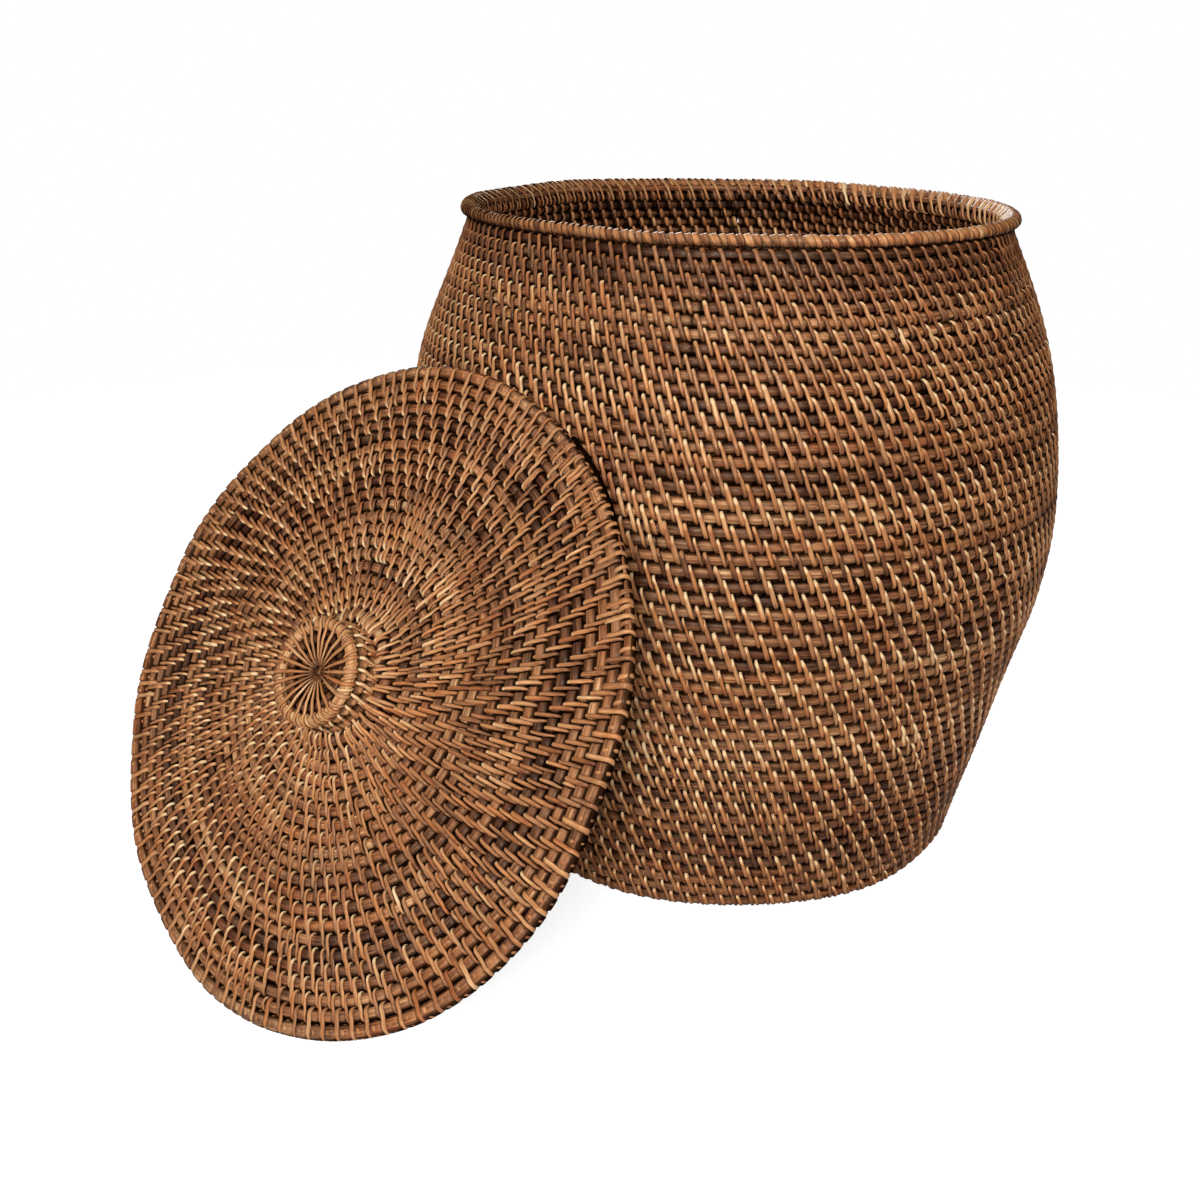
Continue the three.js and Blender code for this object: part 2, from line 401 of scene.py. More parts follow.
class Strands:
    """Closed tubes of one outline, gathered into one mesh. Those of a set have as many points each."""

    def __init__(self, outline):
        self.outline = np.asarray(outline, float)
        self.sets = []

    def add(self, centres, sides, outs, width, thickness, tone, crevice_shade, chunks=1):
        """Adds a set of tubes. centres, sides and outs are (tubes, points, 3), and width, thickness and
        tone spread over (tubes, points). crevice, the painted shade, spreads over the outline too. Each
        tube is cut into as many islands as chunks says."""
        tubes, points = centres.shape[:2]
        spread = np.ones((tubes, points))
        width = (spread * width)[:, :, None, None]
        thickness = (spread * thickness)[:, :, None, None]
        across = self.outline[None, None, :, :1] * width
        outwards = self.outline[None, None, :, 1:] * thickness
        corners = centres[:, :, None] + sides[:, :, None] * across + outs[:, :, None] * outwards
        steps = np.linalg.norm(np.diff(centres, axis=1), axis=2)
        along = np.concatenate([np.zeros((tubes, 1)), np.cumsum(steps, axis=1)], axis=1)
        along = along + rng.uniform(0, 40, (tubes, 1))
        grain = np.stack(
            np.broadcast_arrays(along[:, :, None], across[..., 0], outwards[..., 0]), axis=-1
        )
        around = len(self.outline)
        tone = np.repeat((spread * tone)[:, :, None], around, axis=2)
        crevice_shade = np.ones((tubes, points, around)) * crevice_shade
        turned_in = np.cross(sides[0, 1], outs[0, 1]) @ (centres[0, 2] - centres[0, 1]) < 0
        self.sets.append((corners, grain, tone, crevice_shade, chunks, turned_in))

    def add_along(self, face, angle, way, lift, *rest):
        """Adds one tube along a line on a face. The rest is as in add."""
        up, out = face.directions(angle, way)
        self.add(face.point(angle, way, lift)[None], up[None], out[None], *rest)

    def end_fan(self):
        """The faces that close a tube's end, as corners of its outline."""
        return np.array([[0, 2 * i + 1, 2 * i + 2, 2 * i + 3] for i in range(len(self.outline) // 2 - 1)])

    def faces(self, tubes, points, first, turned_in):
        around = len(self.outline)
        tube = np.arange(tubes)[:, None, None] * points * around + first
        step = np.arange(points - 1)[None, :, None] * around
        side = np.arange(around)[None, None, :]
        left = tube + step + side
        right = tube + step + (side + 1) % around
        quads = np.stack([left, right, right + around, left + around], axis=-1).reshape(-1, 4)
        fan = self.end_fan()
        near = (tube + fan[None, :, ::-1]).reshape(-1, 4)
        far = (tube + (points - 1) * around + fan[None]).reshape(-1, 4)
        quads = np.concatenate([quads, near, far])
        return quads[:, ::-1] if turned_in else quads

    def island_corners(self, tubes, points, chunks, turned_in):
        """For each face corner: its cell, and its place in the cell round and along the strand."""
        around = len(self.outline)
        per_chunk = (points - 1) // chunks
        steps = np.arange(points - 1)
        chunk = np.minimum(steps // per_chunk, chunks - 1)
        sizes = np.bincount(chunk, minlength=chunks)
        starts = np.concatenate([[0], np.cumsum(sizes)[:-1]])
        low = (steps - starts[chunk]) / sizes[chunk]
        high = (steps - starts[chunk] + 1) / sizes[chunk]
        shape = (tubes, points - 1, around)
        cell = np.broadcast_to(np.arange(tubes)[:, None, None] * chunks + chunk[None, :, None], shape)
        side = np.arange(around)[None, None, :]
        left = np.broadcast_to(side / around, shape)
        right = np.broadcast_to((side + 1) / around, shape)
        low = np.broadcast_to(low[None, :, None] * 0.92, shape)
        high = np.broadcast_to(high[None, :, None] * 0.92, shape)
        u = np.stack([left, right, right, left], axis=-1).reshape(-1, 4)
        v = np.stack([low, low, high, high], axis=-1).reshape(-1, 4)
        cells = np.repeat(cell.reshape(-1, 1), 4, axis=1)
        fan = self.end_fan()
        turn = full_turn * np.arange(around) / around
        disc = np.stack([0.2 * np.cos(turn), 0.02 * np.sin(turn)], axis=1)
        end_cells = np.arange(tubes)[:, None, None] * chunks + np.zeros((1, *fan.shape), int)
        for order, centre, cell_shift in ((fan[:, ::-1], 0.25, 0), (fan, 0.75, chunks - 1)):
            u_end = np.broadcast_to(disc[order, 0] + centre, end_cells.shape)
            v_end = np.broadcast_to(disc[order, 1] + 0.965, end_cells.shape)
            u = np.concatenate([u, u_end.reshape(-1, 4)])
            v = np.concatenate([v, v_end.reshape(-1, 4)])
            cells = np.concatenate([cells, (end_cells + cell_shift).reshape(-1, 4)])
        if turned_in:
            u, v, cells = u[:, ::-1], v[:, ::-1], cells[:, ::-1]
        return u, v, cells

    def gathered(self, place):
        """The values at one place of all the sets, in a row."""
        return np.concatenate([each[place].ravel() for each in self.sets]).astype(np.float32)

    def build(self, name, material):
        """The mesh of all the tubes. Each island has a cell of its own in the picture to be baked."""
        quads, us, vs, cells = [], [], [], []
        first = 0
        first_cell = 0
        for corners, _, _, _, chunks, turned_in in self.sets:
            tubes, points = corners.shape[:2]
            quads.append(self.faces(tubes, points, first, turned_in))
            u, v, cell = self.island_corners(tubes, points, chunks, turned_in)
            us.append(u)
            vs.append(v)
            cells.append(cell + first_cell)
            first += tubes * points * len(self.outline)
            first_cell += tubes * chunks
        quads = np.concatenate(quads)
        rows = max(1, round(math.sqrt(first_cell * self.girth_share())))
        columns = math.ceil(first_cell / rows)
        cells = np.concatenate(cells)
        margin = 0.04
        u = (cells % columns + margin + (1 - 2 * margin) * np.concatenate(us)) / columns
        v = (cells // columns + margin + (1 - 2 * margin) * np.concatenate(vs)) / rows
        mesh = bpy.data.meshes.new(name)
        mesh.vertices.add(first)
        mesh.vertices.foreach_set("co", self.gathered(0))
        mesh.loops.add(quads.size)
        mesh.loops.foreach_set("vertex_index", quads.astype(np.int32).ravel())
        mesh.polygons.add(len(quads))
        mesh.polygons.foreach_set("loop_start", np.arange(0, quads.size, 4, dtype=np.int32))
        mesh.update(calc_edges=True)
        layer = mesh.uv_layers.new(name="OFBake")
        layer.data.foreach_set("uv", np.stack([u, v], axis=-1).astype(np.float32).ravel())
        # Per point: the grain, the tone, and the painted shade that darkens the gaps
        for place, label, kind, field in (
            (1, "grain", "FLOAT_VECTOR", "vector"),
            (2, "tone", "FLOAT", "value"),
            (3, "crevice_shade", "FLOAT", "value"),
        ):
            attribute = mesh.attributes.new(label, kind, "POINT")
            attribute.data.foreach_set(field, self.gathered(place))
        mesh.shade_smooth()
        mesh.materials.append(material)
        return placed(name, mesh)

    def girth_share(self):
        """The girth of a strand's island as a share of its length."""
        corners, _, _, _, chunks, _ = self.sets[0]
        girth = np.linalg.norm(corners[0, 1] - np.roll(corners[0, 1], 1, axis=0), axis=1).sum()
        length = np.linalg.norm(np.diff(corners[0, :, 0], axis=0), axis=1).sum() / chunks
        return girth / length


round_turn = full_turn * np.arange(cane_sides) / cane_sides
round_outline = np.stack([np.cos(round_turn), np.sin(round_turn)], axis=1)
strip_outline = [(-0.5, -0.4), (0.5, -0.4), (0.5, 0.1), (0.2, 0.5), (-0.2, 0.5), (-0.5, 0.1)]
# Painted shade along a strip's sides and underside, for each corner of its outline
strip_edge_shade = np.array([1, 1, 0.5, 0, 0, 0.5])
cord_outline = [(1, 0), (0, 1), (-1, 0), (0, -1)]


def path_over(arcs, count):
    """A line of count points in (way, lift) round arcs of (way, lift, radius, first, last) degrees."""
    line = []
    for way, lift, radius, first, last in arcs:
        turn = np.radians(np.linspace(first, last, 40))
        line.append(np.stack([way + radius * np.cos(turn), lift + radius * np.sin(turn)], axis=1))
    return resampled(np.concatenate(line), count)


# Half a row, and the height of a strip's middle over the cane's axis
half_row = 4.6 * mm
strip_lift = cane_diameter / 2 + 0.15 * strip_thickness

two_rows = [(half_row, 0, strip_lift, -22, 116), (-half_row, 0, strip_lift, 64, 202)]
over_two = path_over(two_rows, front_steps)
over_one = path_over([(0, 0, strip_lift, -22, 202)], front_steps)
under_one = path_over([(0, 0, strip_lift, 158, 382)], back_steps)


def lay(
    strands, face, angle, middle, path, sideways, width, tone,
    stretch=1.0, tilt=0.0, taper=None, shade=None, thickness=strip_thickness, painted_light=0.0,
):
    """Lays a strip along path at each angle. middle is the path's origin along the profile.

    Along the strip, taper is its width's share and shade its painted shade, and its tone may be made
    lighter or darker as painted light. Without taper and shade it is narrower and painted dark where it
    dives under."""
    way = middle[:, None] + path[None, :, 0] * np.reshape(stretch, (-1, 1))
    lift = np.broadcast_to(path[None, :, 1], way.shape)
    reach = face.profile_at(middle)[0]
    turn = angle[:, None] + sideways / np.maximum(reach, 8 * mm)[:, None]
    centres = face.point(turn, way, lift)
    up, out = face.directions(turn, way)
    slope = unit(np.gradient(path, axis=0))
    outs = up * slope[None, :, 1:] - out * slope[None, :, :1]
    forward = unit(np.gradient(centres, axis=1))
    sides = unit(np.cross(outs, forward))
    outs = np.cross(forward, sides)
    turned = np.broadcast_to(np.sin(tilt), way.shape)[..., None]
    upright = np.broadcast_to(np.cos(tilt), way.shape)[..., None]
    sides, outs = sides * upright + outs * turned, outs * upright - sides * turned
    if taper is None:
        taper = 0.7 + 0.3 * smooth_step(np.sin(math.pi * np.linspace(0, 1, len(path))) * 1.25)
    # By default, painted shade where the strip dives under the row
    if shade is None:
        shown = path[:, 1] * np.sign(path[len(path) // 2, 1]) / np.abs(path[:, 1]).max()
        shade = 1 - smooth_step((shown - 0.05) / 0.5)
    width = np.reshape(width, (-1, 1)) * np.broadcast_to(taper, len(path))
    # Painted shade: the strip's own shade, with its sides darker too
    painted_shade = np.clip(np.broadcast_to(shade, len(path))[:, None] + strip_edge_shade, 0, 1)[None]
    strands.add(centres, sides, outs, width, thickness, np.reshape(tone, (-1, 1)) + painted_light, painted_shade)


class Lengths:
    """The tone of a cane along the coil: each length of cane has its own."""

    def __init__(self, turns, shortest, longest, tones):
        self.ends = np.cumsum(rng.uniform(shortest, longest, int(turns / shortest) + 3))
        self.tones = rng.choice(tones, len(self.ends)) + rng.normal(0, 0.07, len(self.ends))

    def __call__(self, turn):
        return self.tones[np.searchsorted(self.ends, np.clip(turn, 0, self.ends[-1] - 1e-9))]


def set_stitches(face, counts):
    """Works out where each row's stitches start: each stands beside one of the row before."""
    beside = abs(face.slant) / 2 + face.neighbour
    heads = np.arange(counts[0]) * full_turn / counts[0]
    face.heads[1] = heads
    for row in range(2, face.rows + 1):
        radius = max(face.radius_of(row), least_radius)
        step = min(beside / radius, face.crowd * full_turn / len(heads))
        heads = np.sort(np.mod(heads - math.copysign(step, face.slant), full_turn))
        while len(heads) < counts[row - 1]:
            gaps = np.diff(np.append(heads, heads[0] + full_turn))
            wide = np.argsort(-gaps)[:8]
            chosen = rng.choice(wide)
            heads = np.sort(np.mod(np.append(heads, heads[chosen] + gaps[chosen] / 2), full_turn))
        before = np.append(heads[-1] - full_turn, heads[:-1])
        after = np.append(heads[1:], heads[0] + full_turn)
        most = largest_nudge / radius
        heads = heads + np.clip(0.25 * (before + after - 2 * heads), -most, most)
        face.heads[row] = heads


def cuts(face, row):
    """Where a row's cane is cut, in turns from the seam, how far strips nip it there, and its block."""
    radius = max(face.radius_of(row, face.seam), least_radius)
    spots = []
    for source, share in ((row, 0.25), (row + 1, 0.75)):
        if source in face.heads and not (face.sunk and spots):
            spots.append(face.heads[source] + share * face.slant / radius)
    if not spots:
        places = np.arange(120) / 120
        return places, 0 * places, np.arange(120) // 3
    spots = np.unique(np.mod(np.concatenate(spots) - face.seam, full_turn))
    gap = np.append(spots[1:], spots[0] + full_turn) - spots
    if face.sunk:
        edge = np.minimum(slot_edge / radius, 0.15 * gap)
        rise = np.minimum(slot_rise / radius, 0.25 * gap)
        after = spots + gap
        turn = np.stack([spots + edge, spots + rise, spots + gap / 2, after - rise, after - edge])
        nip = np.repeat([[1.0], [0], [0], [0], [1]], len(spots), axis=1).ravel()
        places = np.mod(turn, full_turn).ravel() / full_turn
        order = np.argsort(places)
        return places[order], nip[order], np.tile(np.arange(len(spots)), 5)[order]
    wide = gap * radius > narrow_block
    bend = np.minimum(1.2 * face.nip_reach / radius, gap / 3)
    reach = np.minimum(face.nip_reach, 0.32 * gap.mean() * radius)
    block = np.arange(len(spots))
    turn = np.concatenate([spots, spots + gap / 2, (spots + bend)[wide], (spots + gap - bend)[wide]])
    distance = np.concatenate([0 * gap, gap / 2, bend[wide], bend[wide]]) * radius
    blocks = np.concatenate([block, block, block[wide], block[wide]])
    places = np.mod(turn, full_turn) / full_turn
    order = np.argsort(places)
    return places[order], np.exp(-((distance[order] / reach) ** 3)), blocks[order]


def canes(face, rows, tones, name):
    """The foundation cane of some rows, one unbroken coil, nipped where strips bind it."""
    outline = np.sign(round_outline) * np.abs(round_outline) ** face.square
    # Painted shade: darker towards the grooves on both sides and on the cane's inner side
    painted_shade = np.clip((np.abs(outline[:, 0]) - 0.52) / 0.4, 0, 1) + 0.35 * (outline[:, 1] < -0.1)
    strands = Strands(outline)
    along, row, nip, tint = [], [], [], []
    for index, value in enumerate(rows):
        places, nipped, blocks = cuts(face, value)
        along.append(index + places)
        row.append(np.full(len(places), value))
        nip.append(nipped)
        tint.append(rng.normal(0, 0.06, blocks.max() + 1)[blocks])
    along, row, nip, tint = (np.concatenate(values) for values in (along, row, nip, tint))
    along = np.append(along, len(rows))
    row = np.append(row, rows[-1] + 1)
    nip = np.append(nip, 0)
    tint = np.append(tint, 0)
    angle = face.seam + np.mod(along, 1) * full_turn
    jog = face.jog(angle)
    jog[-1] = 0
    low = face.edge(row - 1 + jog)
    high = face.edge(row + jog)
    if rows[-1] == face.rows:
        high[-1] = low[-1]
    if rows[0] == 0 or rows[-1] == face.rows:
        shown = high - low > thinnest_end
        low, high, along, angle = low[shown], high[shown], along[shown], angle[shown]
        row, nip, tint = row[shown], nip[shown], tint[shown]
    middle = (low + high) / 2
    half = (high - low) / 2
    uneven = 1.02 + 0.015 * np.sin(angle * 23 + row)
    round_half = np.minimum(half, half_row + 0.4 * mm)
    across = (half - face.gap / 2) * (uneven - 0.25 * face.nip * nip)
    outwards = round_half * (cane_diameter / 2 / half_row) * (uneven - face.nip * nip)
    tone = tones(along + rows[0]) + tint
    # Painted shadow beside each strip where it nips the cane, and painted shade in the slots of a sunk
    # face
    crevice_shade = np.clip(painted_shade + (slot_shade if face.sunk else nip_shade) * nip[:, None], 0, 1)
    strands.add_along(face, angle, middle, 0, across, outwards, tone, crevice_shade, 4 * len(rows))
    return strands.build(name, cane_finish)


def seam_cord(face, rows, name):
    """A thin cord behind the grooves of some rows, so that nothing shows through. It is painted near
    black, as the shade down in the grooves.
    """
    strands = Strands(cord_outline)
    along = np.linspace(0, len(rows), len(rows) * cord_steps + 1)
    index = np.minimum(along.astype(int), len(rows) - 1)
    angle = face.seam + (along - index) * full_turn
    jog = np.where(along - index >= 1, 1.0, face.jog(angle))
    way = face.edge(rows[0] + index - 1 + jog)
    shown = way > face.edges[0] + 3 * mm
    way, angle = way[shown], angle[shown]
    width = face.gap / 2 + cord_overlap
    strands.add_along(face, angle, way, 0, width, cord_thickness, 0.1, 1, 4 * len(rows))
    return strands.build(name, cane_finish)


def stitches(face, rows, tones, name):
    """The binding strips of some rows, outside and inside."""
    strands = Strands(strip_outline)
    for row in rows:
        heads = face.heads[row]
        count = len(heads)
        radius = face.radius_of(row)
        spacing = full_turn / count
        angle = heads + rng.normal(0, stitch_jitter, count) * spacing
        low, high = face.span(row, angle)
        below = face.edge(row - 2 + face.jog(angle))
        width = face.strip_width * np.clip(rng.normal(1, 0.11, count), 0.65, 1.35)
        width = np.minimum(width, face.fill * spacing * radius)
        turn = row - 1 + np.mod(angle - face.seam, full_turn) / full_turn
        tone = tones(turn) + rng.normal(0, 0.07, count)
        single = (row == 1) | (rng.random(count) < lone_stitch_share)
        for alone in (False, True):
            chosen = single == alone
            if not chosen.any():
                continue
            middle = np.where(alone, (low + high) / 2, low)[chosen]
            stretch = ((high - low) / 2 if alone else (high - below) / 4)[chosen] / half_row
            stretch = np.clip(stretch, 0.6, 1.4)
            front = np.array(over_one if alone else over_two)
            lift = np.abs(front[:, 1] / strip_lift) ** face.square * strip_lift
            front[:, 1] = np.sign(front[:, 1]) * lift
            share = np.clip((front[0, 0] - front[:, 0]) / (front[0, 0] - front[-1, 0]), 0, 1)
            slant = face.slant * (0.5 if alone else 1)
            head, tail = (share, 1 - share) if face.outward == 1 else (1 - share, share)
            curl = -face.outward * face.hook * near_start(head, 0.25)
            wander = rng.normal(0, 0.3 * mm, (chosen.sum(), 1)) * np.sin(math.pi * share)
            sideways = slant * share + curl + wander
            taper = 1 - 0.12 * near_start(head, 0.06) - 0.12 * near_start(tail, 0.08)
            taper = taper - face.slim[0] * near_start(head, 0.55) - face.slim[1] * near_start(tail, 0.4)
            front = front - face.sunk * smooth_step((0.6 - tail) / 0.3)[:, None] * [0, 1]
            tilt = face.twist * smooth_step((0.75 - head) / 0.7)
            # Painted light: lighter at the head and, as the face's ends say, lighter or darker at the
            # tail
            painted_light = face.ends[0] * smooth_step((0.2 - head) / 0.15)
            painted_light = painted_light + face.ends[1] * near_start(tail, 0.5)
            lay(
                strands, face, angle[chosen], middle, front, sideways, width[chosen], tone[chosen],
                stretch=stretch, tilt=tilt, taper=taper, painted_light=painted_light,
            )
        stretch = np.clip((high - low) / 2 / half_row, 0.6, 1.4)
        sideways = spacing * radius - back_slant * (1 - np.linspace(0, 1, back_steps))
        sideways = np.broadcast_to(sideways, (count, back_steps))
        lay(strands, face, angle, (low + high) / 2, under_one, sideways, width, tone, 1.12 * stretch)
    return strands.build(name, strip_finish)


def dress(piece, body, slot, *nodes):
    """Makes a piece ride on a body and stand for the CAD nodes."""
    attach(piece, body)
    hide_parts(*nodes)


# The wall
inset = wall_thickness / 2
outline = np.vstack([[(base_radius, 0)], spline([flare, belly, shoulder, neck])])
outline = evenly(outline, 1 * mm)

# A weighted mean over 50 mm rounds the bend where the straight flare ends
soft = np.hanning(51)
soft /= soft.sum()
run_in = outline[0] - (outline[1] - outline[0]) * np.arange(25, 0, -1)[:, None]
run_out = outline[-1] + (outline[-1] - outline[-2]) * np.arange(1, 26)[:, None]
padded = np.vstack([run_in, outline, run_out])
outline = np.stack([np.convolve(padded[:, axis], soft, "valid") for axis in (0, 1)], axis=1)
along = unit(np.gradient(outline, axis=0))
wall_line = outline + inset * np.stack([-along[:, 1], along[:, 0]], axis=1)
wall_length = np.linalg.norm(np.diff(wall_line, axis=0), axis=1).sum()
share = np.linspace(0, 1, wall_row_count + 1)
wall_edges = wall_length * (share + row_spread * np.sin(math.pi * share))
wall = Face(wall_line, wall_edges, wall_slant, waver=0.3 * mm, lumps=0.5 * mm)
row_share = np.arange(wall_row_count) / (wall_row_count - 1)
wall_counts = stitches_at_foot + stitches_added_up_the_wall * smooth_step(row_share / 0.75)
set_stitches(wall, np.round(wall_counts).astype(int))


def weave(face, courses, body, slot, tones, cane_shift=((0, 0),), strip_shift=((0, 0),)):
    """Canes and binding for (CAD node, rows) courses. The shifts are (share of the rows, tone) points
    that make canes and strips darker or lighter from the first row to the last."""

    def shifted(tones_along, shift):
        places, shifts = zip(*shift)
        return lambda turn: tones_along(turn) + np.interp(turn / face.rows, places, shifts)

    cane_tones = Lengths(face.rows + 2, 0.5, 2.2, tones)
    strip_tones = Lengths(face.rows + 2, 0.3, 1.6, [0.35, 0.5, 0.55, 0.6, 0.7])
    for name, rows in courses:
        with_start = [0, *rows] if rows[0] == 1 else rows
        for piece in (
            canes(face, with_start, shifted(cane_tones, cane_shift), f"{name}_cane"),
            seam_cord(face, rows, f"{name}_cord"),
            stitches(face, rows, shifted(strip_tones, strip_shift), f"{name}_binding"),
        ):
            dress(piece, body, slot, name)


def rows_of(name, counts, first=1, digits=1):
    """Numbered courses of some rows each, as (CAD node, rows)."""
    made = []
    for index, count in enumerate(counts):
        made.append((f"{name}_{index + 1:0{digits}d}", list(range(first, first + count))))
        first += count
    return made


usual_tones = [0.3, 0.42, 0.5, 0.58, 0.7]
wall_courses = [("foot_coil", [1])]
wall_courses += rows_of("wall_course", [rows_in_wall_course] * wall_course_count, first=2, digits=2)
# Canes and strips are darker towards the foot, and much darker in the top rows as painted shade under the
# rim
wall_cane_shift = [(0, -0.24), (0.45, -0.1), (0.91, -0.1), (0.97, -0.42)]
wall_strip_shift = [(0, -0.04), (0.5, 0), (0.91, -0.04), (0.97, -0.36)]
weave(wall, wall_courses, "basket", "wall_cane", usual_tones, wall_cane_shift, wall_strip_shift)


def ring(face, lift, way, radius, name, tone):
    """One closed cane of a given radius round the axis."""
    strands = Strands(round_outline)
    angle = face.seam + np.linspace(0, full_turn, cane_steps + 1)
    way = np.full(len(angle), way)
    strands.add_along(face, angle, way, lift, radius, radius, tone, 0, 4)
    return strands.build(name, cane_finish)


# The rolled rim: each stitch of the top row goes over it and down inside, with a short wrap between
rim_low, rim_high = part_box("rim_roll")
rim_centre = np.array([rim_high.x - rim_roll_diameter / 2, (rim_low.z + rim_high.z) / 2])
end_radius, end_height, end_along, end_up = wall.profile_at(wall_length)
from_end = rim_centre - np.array([end_radius, end_height])
rim_way = wall_length + from_end @ np.array([end_along, end_up])
rim_lift = from_end @ np.array([end_up, -end_along])
rim_core = rim_roll_diameter / 2 - 1.7 * mm
core = ring(wall, rim_lift, rim_way, rim_core, "rim_core", 0.45)
dress(core, "basket", "rim_binding", "rim_roll")

# A thin cane between the rolled rim and the wall's top row
filler_radius = 2.5 * mm
filler_way = wall_length + 1.9 * mm
filler_lift = 0.9 * mm
filler = ring(wall, filler_lift, filler_way, filler_radius, "rim_filler", 0.4)
dress(filler, "basket", "rim_binding", "rim_roll")

# The wraps over the rim
rim_reach = rim_core + 0.35 * strip_thickness
top_pitch = wall_edges[-1] - wall_edges[-2]
long_arcs = [
    (wall_length - 0.5 * top_pitch, 0, strip_lift, 165, 300),
    (filler_way, filler_lift, filler_radius + 0.5 * mm, 300, 325),
    (rim_way, rim_lift, rim_reach, 335, 530),
]
short_arcs = [(rim_way, rim_lift, rim_reach, 262, 530)]
rim_steps = 28


def rim_wraps(arcs, heads, long, tone):
    """Wraps over the rim's core along arcs, with painted shade at both ends and where they turn under the
    roll. The long ones are thin where they leave the wall.
    """
    path = path_over(arcs, rim_steps)
    share = np.linspace(0, 1, rim_steps)
    count = len(heads)
    taper = 1
    sideways = 8 * mm * (share - 0.5)
    if long:
        taper = 0.45 + 0.55 * smooth_step((share - 0.35) / 0.25)
        sideways = 13 * mm * (share - 0.7)
    taper = taper * (0.75 + 0.25 * smooth_step((1 - share) / 0.12))
    # Painted shade at both ends, and a darker tone towards the far end, under the roll
    shade = smooth_step((share - 0.9) / 0.1) + near_start(share, 0.1)
    width = rim_strip_width * np.clip(rng.normal(1, 0.14, count), 0.6, 1.3)
    lay(
        rim_strands, wall, heads, np.zeros(count), path, sideways, width,
        tone + rng.normal(0, 0.1, count), tilt=rim_strip_tilt, taper=taper, shade=shade,
        thickness=wrap_thickness, painted_light=-0.45 * smooth_step((share - 0.7) / 0.3),
    )


rim_strands = Strands(strip_outline)
rim_heads = wall.heads[wall_row_count]
rim_spacing = full_turn / len(rim_heads)
rim_wraps(long_arcs, rim_heads + rng.normal(0, 0.05, len(rim_heads)) * rim_spacing, True, 0.7)
rim_wraps(short_arcs, rim_heads + (0.5 + rng.normal(0, 0.05, len(rim_heads))) * rim_spacing, False, 0.62)
dress(rim_strands.build("rim_binding", strip_finish), "basket", "rim_binding", "rim_roll")

# The base, coiled flat from its middle
base_reach = base_radius - wall_thickness - seam_gap
base_rows = sum(base_course_rows)
base = FlatFace([(0, inset), (base_reach, inset)], np.linspace(0, base_reach, base_rows + 1), lid_slant)


def stitch_count(radius):
    """Stitches in a row of a flat face: they stand further apart towards the edge."""
    count = np.interp(radius, np.array([0, 41, 60, 100, 150, 217]) * mm, [0, 36, 48, 62, 87, 108])
    return np.round(count).astype(int).clip(6)


base_pitch = base_reach / base_rows
set_stitches(base, stitch_count(base_pitch * (np.arange(base_rows) + 0.5)))
weave(base, rows_of("base_course", base_course_rows), "basket", "base_cane", usual_tones)

# A thin cane in the corner between the base's edge and the wall's foot
base_filler_radius = 2.7 * mm
base_filler_way = base_reach + 1.8 * mm
base_filler = ring(base, 0, base_filler_way, base_filler_radius, "base_filler", 0.3)
dress(base_filler, "basket", "base_cane", "base_course_4")

# The lid, in its own frame, which leans against the wall
edge_low, edge_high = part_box("lid_edge_hoop")
lid_lean = Matrix.Rotation(math.pi / 2 - lid_lean_angle, 4, "X")
lid_place = Matrix.Translation((edge_low + edge_high) / 2) @ lid_lean
lid_field_radius = lid_radius - lid_edge_diameter - seam_gap
knob_bore_radius = knob_radius - cane_diameter
lid_rows = sum(lid_course_rows)


def lid_middle(radius):
    """Height of the canes' axes in the lid's field: a dome, with a hollow neck up to the knob."""
    dome = lid_dome_rise * np.clip((lid_field_radius - radius) / (lid_field_radius - knob_radius), 0, 1)
    neck = 5 * mm * smooth_step((50 * mm - radius) / (14 * mm))
    return dome + neck * (radius > knob_bore_radius)


lid_radii = np.linspace(knob_bore_radius, lid_radius + 8 * mm, 200)
lid_line = np.stack([lid_radii, lid_middle(lid_radii)], axis=1)
row_radii = np.append(np.linspace(knob_bore_radius, lid_field_radius, lid_rows + 1), lid_radius)
lid_edges = np.interp(row_radii, lid_radii, way_along(lid_line))
lid = FlatFace(
    lid_line, lid_edges, lid_slant, place=lid_place, seam=lid_seam, waver=0.55 * mm, lumps=0.9 * mm,
    strip_width=lid_strip_width, fill=0.32, hook=0.0, neighbour=lid_neighbour_distance, crowd=0.4,
    sunk=0.7 * mm, nip=(0.5, 2.1 * mm), ends=(0.28, -0.16), slim=(0.1, 0.2), gap=1.45 * mm, square=0.6,
)
set_stitches(lid, stitch_count((row_radii[1:] + row_radii[:-1]) / 2))
lid_cane_shift = [(0, 0.1), (0.25, -0.08), (0.8, -0.14), (1, -0.22)]
lid_strip_shift = [(0, 0.1), (0.25, 0)]
lid_courses = rows_of("lid_course", lid_course_rows)
weave(lid, lid_courses, "lid", "lid_cane", usual_tones, lid_cane_shift, lid_strip_shift)


def one_tone(tone):
    """The same tone all along a cane."""
    return lambda turn: np.full(len(turn), tone)


# The lid's rolled edge: each stitch of the last row goes round it, with a short wrap beside it
hoop_row = lid_rows + 1
hoop = canes(lid, [hoop_row], one_tone(0.5), "lid_edge_cane")
dress(hoop, "lid", "rim_binding", "lid_edge_hoop")
dress(seam_cord(lid, [hoop_row], "lid_edge_cord"), "lid", "rim_binding", "lid_edge_hoop")
edge_strands = Strands(strip_outline)
hoop_half = lid_edge_diameter / 2
hoop_lift = hoop_half - 0.7 * mm
hoop_steps = 30
beside_steps = 26
around_arcs = [
    (-half_row, 0, strip_lift, -202, -112),
    (hoop_half, 0, hoop_lift, -66, 114),
    (-half_row, 0, strip_lift, 66, 202),
]
around_edge = path_over(around_arcs, hoop_steps)
around_hoop = path_over([(hoop_half, 0, hoop_lift, -190, 190)], beside_steps)
hoop_heads = lid.heads[hoop_row]
hoop_spacing = full_turn / len(hoop_heads) * lid_radius
